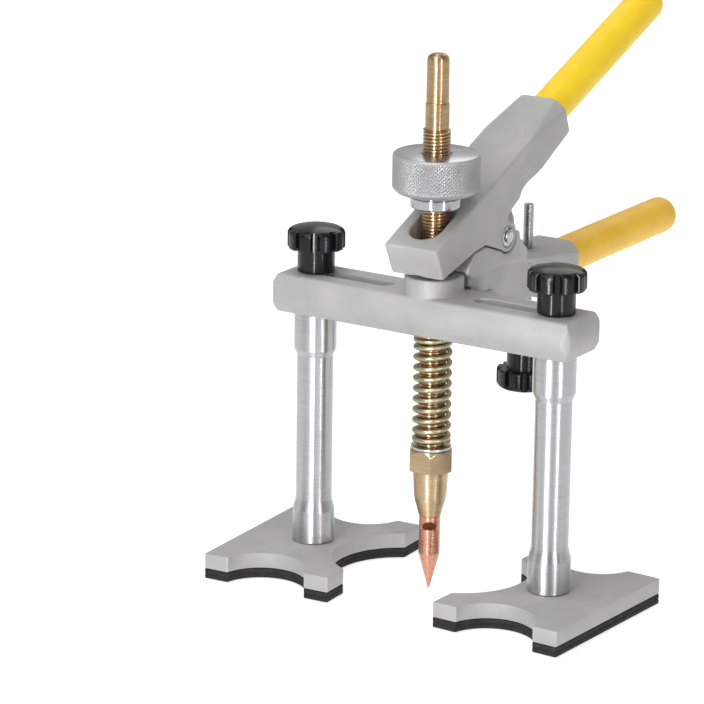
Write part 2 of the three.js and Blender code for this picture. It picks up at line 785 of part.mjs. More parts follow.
const bridge = new THREE.Group();
bridge.add(crossBeam(), rodBush(), rearArm(), lever(), pivotPin(), pivotClip(), pivotBush());
bridge.add(armScrew(-1, ARM_SCREW_HEIGHTS[0], 'low_left'), armScrew(-1, ARM_SCREW_HEIGHTS[1], 'high_left'));
bridge.add(armScrew(1, ARM_SCREW_HEIGHTS[0], 'low_right'), armScrew(1, ARM_SCREW_HEIGHTS[1], 'high_right'));
bridge.add(...handlePieces('upper', UPPER_SOCKET, LEVER_TILT), ...handlePieces('lower', LOWER_SOCKET, 0));
bridge.add(pullRod(), chuck(), copperTip(), springWasher(), returnSpring(), thrustCollar(), heightNut());
bridge.add(...stopPieces(), leg(-1, 'left'), leg(1, 'right'));
bridge.position.y = -ROD_SETBACK;

export default bridge;
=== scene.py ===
"""Looks of the lever-type pull bridge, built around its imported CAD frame. Shapes are in millimetres until a
piece is finished, in the frame's own axes: X along the beam, +Y back to the handles, +Z up."""

import math

import bmesh
import bpy
from mathutils import Matrix, Vector


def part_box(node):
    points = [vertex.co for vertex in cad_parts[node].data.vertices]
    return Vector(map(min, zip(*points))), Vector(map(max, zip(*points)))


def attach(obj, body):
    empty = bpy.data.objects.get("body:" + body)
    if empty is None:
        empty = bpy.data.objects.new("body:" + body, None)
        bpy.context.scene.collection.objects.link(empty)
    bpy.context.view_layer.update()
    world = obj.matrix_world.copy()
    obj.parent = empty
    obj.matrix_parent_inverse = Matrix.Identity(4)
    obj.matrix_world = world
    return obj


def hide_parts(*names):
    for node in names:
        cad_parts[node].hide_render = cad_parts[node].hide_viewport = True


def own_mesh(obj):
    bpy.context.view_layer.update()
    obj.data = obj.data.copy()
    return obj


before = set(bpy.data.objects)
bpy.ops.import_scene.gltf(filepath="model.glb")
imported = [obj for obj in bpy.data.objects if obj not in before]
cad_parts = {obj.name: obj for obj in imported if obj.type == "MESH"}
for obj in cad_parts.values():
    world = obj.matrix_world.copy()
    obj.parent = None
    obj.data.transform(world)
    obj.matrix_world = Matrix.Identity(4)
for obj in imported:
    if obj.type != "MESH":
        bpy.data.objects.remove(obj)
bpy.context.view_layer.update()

MM = 0.001
TAU = 2 * math.pi


def middle(node):
    """Middle of a CAD node's box, in millimetres."""
    low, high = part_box(node)
    return (low + high) / (2 * MM)


ROD = middle("pull_rod")
PIVOT = middle("pivot_pin")
STOP = middle("stop_stud")
ROD_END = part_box("pull_rod")[1].z / MM
STOP_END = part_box("stop_stud")[1].z / MM
BUSH_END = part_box("rod_bush")[1].z / MM

SHELF = 38.1  # bottom of the copper tip's spanner notches

# ------------------------------------------------------------------ camera, floor and lights

CAMERA_AT = Vector((1.11699, -1.98386, 0.77766))
CAMERA_AIM = Vector((-0.060617, -0.104522, 0.133455))
CAMERA_ROLL = math.radians(0.753)
CAMERA_AZIMUTH = 30.77  # degrees from the front, towards +X

# Brightness of the studio at azimuths from the camera, as shares of the world's strength.
STRIPS = (
    (-180, 0.07), (-112, 0.07), (-92, 0.13), (-78, 0.06), (-66, 0.012),
    (-29, 0.012), (-26, 1.0), (-19, 1.0), (-16, 0.006),
    (14, 0.006), (18, 0.24), (25, 0.24), (30, 0.01),
    (56, 0.01), (62, 0.1), (74, 0.1), (82, 0.02),
    (100, 0.07), (115, 0.07), (180, 0.07),
)
STUDIO_STRENGTH = 7.0
OVERHEAD_GREY = 0.035
LIGHTS_AIM = Vector((0, 0, 0.15))
STRIP_HEIGHT = 0.5
FLOOR_REACH = 9.0
FLOOR_DROP = 0.0004  # keeps the floor just clear of the soles


def make_camera():
    data = bpy.data.cameras.new("camera")
    data.sensor_width = 36.0
    data.lens = 199.685
    data.clip_start = 0.05
    data.clip_end = 40.0
    camera = bpy.data.objects.new("camera", data)
    bpy.context.scene.collection.objects.link(camera)
    forward = (CAMERA_AIM - CAMERA_AT).normalized()
    turn = forward.to_track_quat("-Z", "Y").to_matrix() @ Matrix.Rotation(CAMERA_ROLL, 3, "Z")
    camera.matrix_world = Matrix.Translation(CAMERA_AT) @ turn.to_4x4()
    bpy.context.scene.camera = camera


def direction(azimuth, elevation):
    """Unit vector from the object towards a place seen from the front at azimuth 0, from +X at 90."""
    a, e = math.radians(azimuth), math.radians(elevation)
    return Vector((math.sin(a) * math.cos(e), -math.cos(a) * math.cos(e), math.sin(e)))


def area_light(name, width, height, power, at, towards):
    """A rectangle of light at a place, facing against a direction."""
    data = bpy.data.lights.new(name, "AREA")
    data.shape = "RECTANGLE"
    data.size = width
    data.size_y = height
    data.energy = power
    light = bpy.data.objects.new(name, data)
    bpy.context.scene.collection.objects.link(light)
    turn = towards.to_track_quat("Z", "Y").to_matrix().to_4x4()
    light.matrix_world = Matrix.Translation(at) @ turn
    return light


def softbox(name, azimuth, elevation, distance, width, height, power, tint=(1, 1, 1)):
    towards = direction(azimuth, elevation)
    light = area_light(name, width, height, power, LIGHTS_AIM + towards * distance, towards)
    light.data.color = tint


def strip(name, azimuth, distance, width, power):
    """A narrow upright light standing near the object, seen only in its reflections."""
    towards = direction(azimuth, 0)
    at = towards * distance + Vector((0, 0, STRIP_HEIGHT / 2))
    light = area_light(name, width, STRIP_HEIGHT, power, at, towards)
    light.visible_camera = False
    light.visible_diffuse = False


def make_world():
    """A studio seen by azimuth: tall light strips beside the main camera, dark gaps between them and an even
    grey elsewhere. Overhead it fades into one dimmer grey."""
    world = bpy.data.worlds.new("studio")
    bpy.context.scene.world = world
    world.use_nodes = True
    tree = world.node_tree
    tree.nodes.clear()

    def node(kind, **settings):
        made = tree.nodes.new(kind)
        for key, value in settings.items():
            setattr(made, key, value)
        return made

    coordinates = node("ShaderNodeTexCoord").outputs["Generated"]
    parts = []
    for azimuth in (CAMERA_AZIMUTH, CAMERA_AZIMUTH + 90):
        dot = node("ShaderNodeVectorMath", operation="DOT_PRODUCT")
        dot.inputs[1].default_value = direction(azimuth, 0)
        tree.links.new(coordinates, dot.inputs[0])
        parts.append(dot.outputs["Value"])
    angle = node("ShaderNodeMath", operation="ARCTAN2")
    tree.links.new(parts[1], angle.inputs[0])
    tree.links.new(parts[0], angle.inputs[1])
    share = node("ShaderNodeMapRange")
    share.inputs["From Min"].default_value = -math.pi
    share.inputs["From Max"].default_value = math.pi
    tree.links.new(angle.outputs[0], share.inputs["Value"])
    ramp = node("ShaderNodeValToRGB")
    tree.links.new(share.outputs[0], ramp.inputs[0])
    while len(ramp.color_ramp.elements) < len(STRIPS):
        ramp.color_ramp.elements.new(0.5)
    for element, (azimuth, grey) in zip(ramp.color_ramp.elements, STRIPS):
        element.position = 0.5 + azimuth / 360
        element.color = (grey, grey, grey, 1)
    up = node("ShaderNodeSeparateXYZ")
    tree.links.new(coordinates, up.inputs[0])
    overhead = node("ShaderNodeMapRange", interpolation_type="SMOOTHSTEP")
    overhead.inputs["From Min"].default_value = 0.55
    overhead.inputs["From Max"].default_value = 0.95
    tree.links.new(up.outputs["Z"], overhead.inputs["Value"])
    mix = node("ShaderNodeMix", data_type="RGBA")
    tree.links.new(overhead.outputs[0], mix.inputs[0])
    tree.links.new(ramp.outputs[0], mix.inputs[6])
    mix.inputs[7].default_value = (OVERHEAD_GREY, OVERHEAD_GREY, OVERHEAD_GREY, 1)
    back = node("ShaderNodeBackground")
    back.inputs[1].default_value = STUDIO_STRENGTH
    tree.links.new(mix.outputs[2], back.inputs[0])
    out = node("ShaderNodeOutputWorld")
    tree.links.new(back.outputs[0], out.inputs[0])


def make_floor():
    data = bpy.data.meshes.new("floor")
    far = FLOOR_REACH
    corners = [(-far, -far, 0), (far, -far, 0), (far, far, 0), (-far, far, 0)]
    data.from_pydata(corners, [], [(0, 1, 2, 3)])
    floor = bpy.data.objects.new("floor", data)
    bpy.context.scene.collection.objects.link(floor)
    floor.location.z = -FLOOR_DROP
    material = bpy.data.materials.new("floor")
    material.use_nodes = True
    shader = material.node_tree.nodes["Principled BSDF"]
    shader.inputs["Base Color"].default_value = (0.6, 0.6, 0.6, 1)
    shader.inputs["Emission Color"].default_value = (1, 1, 1, 1)
    shader.inputs["Emission Strength"].default_value = 0.68
    shader.inputs["Roughness"].default_value = 0.9
    shader.inputs["Specular IOR Level"].default_value = 0.1
    data.materials.append(material)


make_camera()
make_world()
make_floor()
softbox("key", CAMERA_AZIMUTH - 42, 36, 1.5, 0.5, 1.0, 3.3)
softbox("fill", CAMERA_AZIMUTH + 35, 24, 1.6, 0.4, 1.1, 1.2, (1.0, 0.97, 0.93))
softbox("top", CAMERA_AZIMUTH - 60, 74, 1.5, 1.2, 1.2, 9.2)
softbox("rim", CAMERA_AZIMUTH + 165, 40, 1.8, 1.2, 0.8, 4)
strip("left_strip", CAMERA_AZIMUTH - 23, 0.5, 0.026, 1.7)
strip("right_strip", CAMERA_AZIMUTH + 24, 0.5, 0.026, 0.7)
bpy.context.scene.view_settings.view_transform = "Standard"

# ------------------------------------------------------------------ materials


class Look:
    """A node material around one Principled shader."""

    def __init__(self, name, metallic=0.0, **fixed):
        self.material = bpy.data.materials.new(name)
        self.material.use_nodes = True
        self.tree = self.material.node_tree
        self.shader = self.tree.nodes["Principled BSDF"]
        self.shader.inputs["Metallic"].default_value = metallic
        for socket, value in fixed.items():
            self.shader.inputs[socket.replace("_", " ")].default_value = value
        coordinates = self.tree.nodes.new("ShaderNodeTexCoord")
        self.place = coordinates.outputs["Object"]
        self.facing = coordinates.outputs["Normal"]
        self.height = None

    def node(self, kind, inputs=(), **settings):
        made = self.tree.nodes.new(kind)
        for name, value in settings.items():
            setattr(made, name, value)
        for name, value in dict(inputs).items():
            if isinstance(value, bpy.types.NodeSocket):
                self.tree.links.new(value, made.inputs[name])
            else:
                made.inputs[name].default_value = value
        return made

    def noise(self, scale, detail=3.0, rough=0.55, stretch=None):
        """Noise over the piece. scale is in features per metre, and stretch squeezes it along each axis."""
        place = self.place
        if stretch:
            place = self.node("ShaderNodeMapping", {"Vector": place, "Scale": stretch}).outputs[0]
        settings = {"Vector": place, "Scale": scale, "Detail": detail, "Roughness": rough}
        return self.node("ShaderNodeTexNoise", settings).outputs["Fac"]

    def grooves(self, pitch, axis="Z", warp=0.4):
        """Fine turning marks, one each pitch in metres."""
        settings = {"Vector": self.place, "Scale": TAU / 20 / pitch, "Distortion": warp, "Detail": 2.0}
        made = self.node("ShaderNodeTexWave", settings, wave_type="BANDS", bands_direction=axis)
        return made.outputs["Fac"]

    def blend(self, factor, stops):
        """A colour ramp over a factor, from (place, colour) stops."""
        made = self.node("ShaderNodeValToRGB", {"Fac": factor})
        ramp = made.color_ramp
        while len(ramp.elements) < len(stops):
            ramp.elements.new(0.5)
        for element, (at, colour) in zip(ramp.elements, stops):
            element.position = at
            element.color = (*colour, 1)
        return made.outputs["Color"]

    def between(self, factor, low, high, start=0.3, end=0.7):
        settings = {"Value": factor, "From Min": start, "From Max": end, "To Min": low, "To Max": high}
        return self.node("ShaderNodeMapRange", settings).outputs["Result"]

    def mix(self, factor, a, b, mode="MIX"):
        made = self.node("ShaderNodeMix", data_type="RGBA", blend_type=mode)
        for index, value in ((0, factor), (6, a), (7, b)):
            if isinstance(value, bpy.types.NodeSocket):
                self.tree.links.new(value, made.inputs[index])
            else:
                made.inputs[index].default_value = value if index == 0 else (*value, 1)
        return made.outputs[2]

    def edges(self, start=0.52, end=0.6):
        """Where the surface turns outwards sharply."""
        point = self.tree.nodes.new("ShaderNodeNewGeometry").outputs["Pointiness"]
        return self.between(point, 0.0, 1.0, start, end)

    def turn_about_z(self, amount=0.9):
        """Stretches reflections along Z, as the grooves of a lathe do."""
        around = self.node("ShaderNodeTangent", direction_type="RADIAL", axis="Z").outputs[0]
        self.tree.links.new(around, self.shader.inputs["Tangent"])
        self.shader.inputs["Anisotropic"].default_value = amount
        self.shader.inputs["Anisotropic Rotation"].default_value = 0.25

    def colour(self, socket):
        self.tree.links.new(socket, self.shader.inputs["Base Color"])

    def roughness(self, socket):
        self.tree.links.new(socket, self.shader.inputs["Roughness"])

    def bump(self, factor, depth, strength=1.0):
        """Adds relief of a depth in metres on top of what is there."""
        settings = {"Height": factor, "Distance": depth, "Strength": strength}
        if self.height:
            settings["Normal"] = self.height
        self.height = self.node("ShaderNodeBump", settings).outputs["Normal"]
        self.tree.links.new(self.height, self.shader.inputs["Normal"])


def cast_look():
    """Blasted cast aluminium: fine sandy grain, faint clouds and a painted highlight that lightens the convex
    edges.
    """
    look = Look("cast_aluminium", metallic=0.2)
    clouds = look.noise(38, 4)
    grain = look.noise(1500, 3, 0.7)
    base = look.blend(clouds, ((0.32, (0.375, 0.373, 0.368)), (0.68, (0.45, 0.448, 0.442))))
    speck = look.mix(look.between(grain, 0.0, 0.3, 0.42, 0.7), base, (0.56, 0.56, 0.555))
    pits = look.mix(look.between(look.noise(620, 2), 0.3, 0.0, 0.28, 0.4), speck, (0.3, 0.3, 0.295))
    # painted highlight: convex edges, found by pointiness, are lightened to pale grey
    look.colour(look.mix(look.edges(0.53, 0.62), pits, (0.66, 0.66, 0.655)))
    look.roughness(look.between(look.noise(90, 3), 0.52, 0.68))
    look.bump(look.noise(700, 3, 0.6), 0.00012, 0.5)
    look.bump(grain, 0.00006, 0.6)
    return look.material


def turned_look():
    """Bright turned aluminium with fine rings and faint scratches."""
    look = Look("turned_aluminium", metallic=1.0)
    look.turn_about_z()
    rings = look.noise(60, 3, 0.6, (1, 1, 45))
    base = look.blend(rings, ((0.35, (0.44, 0.445, 0.455)), (0.65, (0.53, 0.532, 0.54))))
    smudge = look.noise(70, 4)
    look.colour(look.mix(look.between(smudge, 0.0, 0.25, 0.5, 0.72), base, (0.4, 0.4, 0.395)))
    look.roughness(look.between(look.noise(160, 3, 0.6, (1, 1, 12)), 0.3, 0.38))
    look.bump(look.grooves(0.00032), 0.000006, 0.5)
    look.bump(rings, 0.000012, 0.5)
    return look.material


def knurled_look():
    """Matte silver knurl under a polished top face."""
    look = Look("knurled_aluminium")
    upward = look.node("ShaderNodeSeparateXYZ", {"Vector": look.facing}).outputs["Z"]
    top = look.between(upward, 0.0, 1.0, 0.85, 0.95)
    clouds = look.noise(55, 4)
    base = look.blend(clouds, ((0.3, (0.27, 0.27, 0.275)), (0.7, (0.36, 0.36, 0.365))))
    worn = look.mix(look.edges(0.5, 0.62), base, (0.62, 0.62, 0.62))
    look.colour(look.mix(top, worn, (0.5, 0.495, 0.51)))
    look.tree.links.new(look.between(top, 0.45, 0.9, 0.0, 1.0), look.shader.inputs["Metallic"])
    rough = look.between(look.noise(300, 3), 0.46, 0.6)
    look.roughness(look.node("ShaderNodeMix", {0: top, 2: rough, 3: 0.24}, data_type="FLOAT").outputs[0])
    look.bump(look.noise(1400, 3), 0.00004, 0.5)
    return look.material


def polished_look():
    look = Look("polished_steel", metallic=1.0)
    look.turn_about_z()
    look.colour(look.blend(look.noise(120, 3), ((0.3, (0.36, 0.365, 0.375)), (0.7, (0.44, 0.445, 0.455)))))
    look.roughness(look.between(look.noise(200, 3, 0.5, (1, 1, 20)), 0.13, 0.17))
    look.bump(look.grooves(0.0003), 0.000004, 0.4)
    return look.material


def steel_look():
    """Zinc-plated steel of the screws, studs, pin and clip."""
    look = Look("plated_steel", metallic=1.0)
    clouds = look.noise(180, 4)
    base = look.blend(clouds, ((0.3, (0.38, 0.4, 0.39)), (0.7, (0.56, 0.57, 0.555))))
    look.colour(look.mix(look.between(look.noise(900, 2), 0.0, 0.3, 0.5, 0.75), base, (0.3, 0.29, 0.27)))
    look.roughness(look.between(look.noise(400, 3), 0.24, 0.4))
    look.bump(look.noise(1200, 3), 0.00002, 0.6)
    return look.material


def spring_look():
    """Yellow zinc plating with green and purple tints."""
    look = Look("yellow_zinc", metallic=1.0)
    tint = look.noise(95, 3, 0.5, (1, 1, 1.6))
    stops = (
        (0.3, (0.31, 0.27, 0.26)),
        (0.42, (0.40, 0.35, 0.22)),
        (0.52, (0.38, 0.36, 0.24)),
        (0.62, (0.44, 0.37, 0.24)),
        (0.74, (0.28, 0.30, 0.24)),
    )
    look.colour(look.blend(tint, stops))
    look.roughness(look.between(look.noise(500, 3), 0.3, 0.44))
    look.bump(look.noise(1500, 3), 0.00002, 0.6)
    return look.material


def brass_look(name, dark, light, stain):
    look = Look(name, metallic=1.0)
    look.turn_about_z()
    rings = look.noise(90, 3, 0.6, (1, 1, 26))
    base = look.blend(rings, ((0.3, dark), (0.7, light)))
    look.colour(look.mix(look.between(look.noise(130, 4), 0.0, 0.5, 0.5, 0.75), base, stain))
    look.roughness(look.between(look.noise(260, 3, 0.5, (1, 1, 10)), 0.28, 0.4))
    look.bump(look.grooves(0.0003), 0.000008, 0.5)
    return look.material


def copper_look():
    """Turned copper, with painted shade that darkens the flats inside the spanner notches to dark brown."""
    look = Look("copper", metallic=1.0)
    look.turn_about_z()
    rings = look.noise(110, 3, 0.6, (1, 1, 22))
    base = look.blend(rings, ((0.3, (0.56, 0.27, 0.18)), (0.7, (0.7, 0.37, 0.26))))
    worn = look.mix(look.between(look.noise(150, 4), 0.0, 0.35, 0.5, 0.75), base, (0.42, 0.17, 0.1))
    # painted shade: the notch flats, found by distance from the rod's axis and height above the shelf, are
    # darkened to dark brown
    flat = look.node("ShaderNodeVectorMath", {0: look.place, 1: (1, 1, 0)}, operation="MULTIPLY").outputs[0]
    axis = (ROD.x * MM, ROD.y * MM, 0)
    reach = look.node("ShaderNodeVectorMath", {0: flat, 1: axis}, operation="DISTANCE").outputs["Value"]
    height = look.node("ShaderNodeSeparateXYZ", {"Vector": look.place}).outputs["Z"]
    inside = look.between(reach, 1.0, 0.0, 5.6 * MM, 5.9 * MM)
    above = look.between(height, 0.0, 1.0, (SHELF + 0.1) * MM, (SHELF + 0.5) * MM)
    below = look.between(height, 1.0, 0.0, (SHELF + 5.1) * MM, (SHELF + 5.4) * MM)
    notch = look.node("ShaderNodeMath", {0: inside, 1: above}, operation="MULTIPLY").outputs[0]
    notch = look.node("ShaderNodeMath", {0: notch, 1: below}, operation="MULTIPLY").outputs[0]
    look.colour(look.mix(notch, worn, (0.14, 0.045, 0.03)))
    look.roughness(look.between(look.noise(260, 3, 0.5, (1, 1, 10)), 0.2, 0.32))
    look.bump(rings, 0.000012, 0.5)
    return look.material


def knob_look():
    """Glossy black moulded plastic with a slight orange peel and dust in it."""
    look = Look("black_plastic", Specular_IOR_Level=0.3)
    look.turn_about_z(0.6)
    look.colour(look.blend(look.noise(220, 4), ((0.35, (0.004, 0.004, 0.005)), (0.75, (0.01, 0.01, 0.012)))))
    look.roughness(look.between(look.noise(160, 3), 0.16, 0.24))
    look.bump(look.noise(420, 2), 0.00004, 0.4)
    return look.material


def rubber_look():
    look = Look("sole_rubber", Specular_IOR_Level=0.35)
    dust = look.noise(140, 4)
    look.colour(look.blend(dust, ((0.35, (0.008, 0.008, 0.008)), (0.7, (0.022, 0.021, 0.021)))))
    look.roughness(look.between(look.noise(300, 3), 0.62, 0.85))
    look.bump(look.noise(1100, 4, 0.7), 0.0001, 0.6)
    return look.material


def grip_look(name, dark, light):
    """Dipped vinyl: soft sheen, faint mottling and a slight orange peel."""
    look = Look(name, Specular_IOR_Level=0.45, Subsurface_Weight=0.06, Subsurface_Scale=0.002)
    mottle = look.noise(34, 4, 0.6)
    base = look.blend(mottle, ((0.3, dark), (0.7, light)))
    smear = look.between(look.noise(60, 3, 0.6, (1, 0.25, 1)), 0.0, 0.3, 0.55, 0.8)
    look.colour(look.mix(smear, base, tuple(0.86 * c for c in dark)))
    look.roughness(look.between(look.noise(120, 3), 0.36, 0.5))
    look.bump(look.noise(260, 3), 0.00008, 0.35)
    look.bump(look.noise(2200, 2), 0.00003, 0.35)
    return look.material


CAST = cast_look()
TURNED = turned_look()
KNURLED = knurled_look()
POLISHED = polished_look()
STEEL = steel_look()
SPRING = spring_look()
ROD_BRASS = brass_look("rod_brass", (0.36, 0.235, 0.125), (0.56, 0.4, 0.235), (0.24, 0.14, 0.07))
CHUCK_BRASS = brass_look("chuck_brass", (0.47, 0.34, 0.2), (0.66, 0.5, 0.31), (0.38, 0.24, 0.13))
BRONZE = brass_look("bush_bronze", (0.3, 0.19, 0.1), (0.46, 0.31, 0.17), (0.2, 0.12, 0.06))
COPPER = copper_look()
KNOB = knob_look()
RUBBER = rubber_look()
UPPER_YELLOW = grip_look("upper_vinyl", (0.93, 0.6, 0.008), (1.0, 0.7, 0.016))
LOWER_YELLOW = grip_look("lower_vinyl", (0.86, 0.49, 0.02), (0.95, 0.59, 0.045))

# ------------------------------------------------------------------ mesh helpers


def arc(cx, cy, radius, start, end, steps):
    """Points on a circle, from one angle to another in degrees."""
    points = []
    for i in range(steps + 1):
        a = math.radians(start + (end - start) * i / steps)
        points.append((cx + radius * math.cos(a), cy + radius * math.sin(a)))
    return points


def eased(points, closed=False, steps=4):
    """Corners given as (x, y, reach) become small arcs; the others stay sharp."""
    out = []
    for i, point in enumerate(points):
        if len(point) < 3 or (not closed and i in (0, len(points) - 1)):
            out.append((point[0], point[1]))
            continue
        here = Vector(point[:2])
        before = Vector(points[i - 1][:2]) - here
        after = Vector(points[(i + 1) % len(points)][:2]) - here
        reach = min(point[2], 0.49 * before.length, 0.49 * after.length)
        a = here + before.normalized() * reach
        b = here + after.normalized() * reach
        for s in range(steps + 1):
            t = s / steps
            out.append(tuple(a * (1 - t) ** 2 + here * (2 * t * (1 - t)) + b * t * t))
    return out


def lathe(profile, sides=72, closed=False, warp=None, knurl=None):
    """A turned body about Z from (radius, height) points. warp(radius, height, angle) gives the radius where
    the body isn't round. knurl is (first ring, last ring, depth) of a diamond knurl."""
    bm = bmesh.new()
    rings = []
    for j, (radius, height) in enumerate(profile):
        if radius < 1e-6:
            rings.append([bm.verts.new((0, 0, height))])
            continue
        ring = []
        for k in range(sides):
            a = TAU * k / sides
            r = warp(radius, height, a) if warp else radius
            if knurl and knurl[0] <= j <= knurl[1] and (j + k) % 2:
                r -= knurl[2]
            ring.append(bm.verts.new((r * math.cos(a), r * math.sin(a), height)))
        rings.append(ring)
    pairs = list(zip(range(len(rings)), range(1, len(rings))))
    if closed:
        pairs.append((len(rings) - 1, 0))
    for low, high in pairs:
        for k in range(sides):
            n = (k + 1) % sides
            a, b = rings[low][k % len(rings[low])], rings[low][n % len(rings[low])]
            d, c = rings[high][k % len(rings[high])], rings[high][n % len(rings[high])]
            corners = [v for i, v in enumerate((a, b, c, d)) if v not in (a, b, c, d)[:i]]
            if len(corners) < 3:
                continue
            if knurl and knurl[0] <= low and high <= knurl[1]:
                halves = ((a, b, d), (b, c, d)) if (low + n) % 2 else ((a, b, c), (a, c, d))
                for half in halves:
                    bm.faces.new(half)
            else:
                bm.faces.new(corners)
    return bm


def offset(outline, distance):
    """A counter-clockwise outline moved inwards."""
    moved = []
    count = len(outline)
    for i in range(count):
        a, b, c = Vector(outline[i - 1]), Vector(outline[i]), Vector(outline[(i + 1) % count])
        first, second = (b - a).normalized(), (c - b).normalized()
        n1, n2 = Vector((-first.y, first.x)), Vector((-second.y, second.x))
        moved.append(tuple(b + (n1 + n2) * (distance / max(0.4, 1 + n1.dot(n2)))))
    return moved


def tidy_outline(points):
    """Counter-clockwise, with no two neighbours at the same place."""
    kept = []
    for p in points:
        if not kept or (Vector(p) - Vector(kept[-1])).length > 0.02:
            kept.append(tuple(p))
    if (Vector(kept[0]) - Vector(kept[-1])).length <= 0.02:
        kept.pop()
    area = sum(kept[i - 1][0] * kept[i][1] - kept[i][0] * kept[i - 1][1] for i in range(len(kept)))
    return kept if area > 0 else kept[::-1]


def prism(outline, levels):
    """An outline in X and Y lofted through (inset, height) levels and closed at both ends."""
    bm = bmesh.new()
    outline = tidy_outline(outline)
    loops = []
    for inset, height in levels:
        loops.append([bm.verts.new((x, y, height)) for x, y in offset(outline, inset)])
    count = len(outline)
    for low, high in zip(loops, loops[1:]):
        for k in range(count):
            n = (k + 1) % count
            bm.faces.new((low[k], low[n], high[n], high[k]))
    bm.faces.new(loops[0][::-1])
    bm.faces.new(loops[-1])
    return bm


def edge_levels(low, high, radius, steps=4):
    """Levels of a plate with rounded top and bottom edges."""
    turn = []
    for i in range(steps + 1):
        a = math.pi / 2 * i / steps
        turn.append((radius * (1 - math.sin(a)), radius * (1 - math.cos(a))))
    bottom = [(inset, low + rise) for inset, rise in turn]
    top = [(inset, high - rise) for inset, rise in turn[::-1]]
    return bottom + top


def thread(major, depth, pitch, low, high, sides=30):
    """A bar with one helical ridge from end to end, cut off flat."""
    bm = bmesh.new()
    turns = math.ceil((high - low) / pitch) + 4
    marks = ((0.0, major - depth), (0.1, major - depth), (0.36, major), (0.74, major))
    rows = []
    for i in range(turns * sides + 1):
        a = TAU * i / sides
        z = low + pitch * (i / sides - 2)
        row = []
        for share, r in marks:
            row.append(bm.verts.new((r * math.cos(a), r * math.sin(a), z + pitch * share)))
        rows.append(row)
    for i in range((turns - 1) * sides):
        for j in range(len(marks)):
            if j + 1 < len(marks):
                up = (rows[i][j + 1], rows[i + 1][j + 1])
            else:
                up = (rows[i + sides][0], rows[i + sides + 1][0])
            bm.faces.new((rows[i][j], rows[i + 1][j], up[1], up[0]))
    for height, way in ((low, -1), (high, 1)):
        everything = bm.verts[:] + bm.edges[:] + bm.faces[:]
        bmesh.ops.bisect_plane(
            bm, geom=everything, plane_co=(0, 0, height), plane_no=(0, 0, way), clear_outer=True
        )
    loose = [v for v in bm.verts if not v.link_faces]
    bmesh.ops.delete(bm, geom=loose, context="VERTS")
    bmesh.ops.holes_fill(bm, edges=[e for e in bm.edges if e.is_boundary], sides=0)
    return bm


def joined(*parts):
    """Several closed bodies as the shells of one piece."""
    whole = parts[0]
    for part in parts[1:]:
        spare = bpy.data.meshes.new("spare")
        part.to_mesh(spare)
        part.free()
        whole.from_mesh(spare)
        bpy.data.meshes.remove(spare)
    return whole


def placed(bm, turn=None, at=(0, 0, 0)):
    if turn:
        bmesh.ops.transform(bm, matrix=turn.to_4x4(), verts=bm.verts)
    bmesh.ops.translate(bm, vec=Vector(at), verts=bm.verts)
    return bm


def finished(name, bm, body, nodes, material, crease=35.0):
    """Turns a body in millimetres into a piece that rides on a CAD body and stands for its nodes."""
    bmesh.ops.recalc_face_normals(bm, faces=bm.faces)
    bmesh.ops.scale(bm, vec=(MM, MM, MM), verts=bm.verts)
    mesh = bpy.data.meshes.new(name)
    bm.to_mesh(mesh)
    bm.free()
    return dressed(name, mesh, body, nodes, material, crease)


def dressed(name, mesh, body, nodes, material, crease):
    mesh.shade_smooth()
    mesh.set_sharp_from_angle(angle=math.radians(crease))
    mesh.materials.clear()
    mesh.materials.append(material)
    piece = bpy.data.objects.new(name, mesh)
    bpy.context.scene.collection.objects.link(piece)
    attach(piece, body)
    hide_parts(*nodes)
    return piece


def baked(mesh, *modifiers):
    """A mesh after (type, settings) modifiers."""
    holder = bpy.data.objects.new("holder", mesh)
    bpy.context.scene.collection.objects.link(holder)
    for kind, settings in modifiers:
        modifier = holder.modifiers.new(kind.lower(), kind)
        for key, value in settings.items():
            setattr(modifier, key, value)
    bpy.context.view_layer.update()
    depsgraph = bpy.context.evaluated_depsgraph_get()
    made = bpy.data.meshes.new_from_object(holder.evaluated_get(depsgraph), depsgraph=depsgraph)
    bpy.data.objects.remove(holder)
    return made


def drilled(bm, *cutters):
    """A body with other bodies cut out of it."""
    mesh = bpy.data.meshes.new("body")
    bmesh.ops.recalc_face_normals(bm, faces=bm.faces)
    bm.to_mesh(mesh)
    bm.free()
    for cutter in cutters:
        bmesh.ops.recalc_face_normals(cutter, faces=cutter.faces)
        tool_mesh = bpy.data.meshes.new("tool")
        cutter.to_mesh(tool_mesh)
        cutter.free()
        tool = bpy.data.objects.new("tool", tool_mesh)
        bpy.context.scene.collection.objects.link(tool)
        mesh = baked(mesh, ("BOOLEAN", {"operation": "DIFFERENCE", "solver": "EXACT", "object": tool}))
        bpy.data.objects.remove(tool)
    made = bmesh.new()
    made.from_mesh(mesh)
    return made


def soft_casting(name, node, body, voxel, rounds, share):
    """The CAD node as a casting: every edge rounded a little and its facets evened out."""
    bm = bmesh.new()
    bm.from_mesh(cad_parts[node].data)
    bmesh.ops.remove_doubles(bm, verts=bm.verts, dist=2e-6)
    source = bpy.data.meshes.new(name)
    bm.to_mesh(source)
    bm.free()
    mesh = baked(
        source,
        ("REMESH", {"mode": "VOXEL", "voxel_size": voxel * MM}),
        ("SMOOTH", {"factor": 0.5, "iterations": rounds}),
        ("DECIMATE", {"ratio": share}),
    )
    mesh.name = name
    return dressed(name, mesh, body, [node], CAST, 180.0)


# ------------------------------------------------------------------ feet

FOOT_IN, FOOT_OUT, FOOT_FRONT, FOOT_BACK = 42.5, 41.5, 57.4, 56.5
TOE, HEEL, INNER_TOE = 16.0, 22.0, 19.6
FRONT_HOLLOW, BACK_HOLLOW, INNER_HOLLOW = 21.5, 18.0, 22.7
TOE_IN = math.radians(2.8)
PLATE_FOOT, PLATE_TOP = 6.1, 15.4


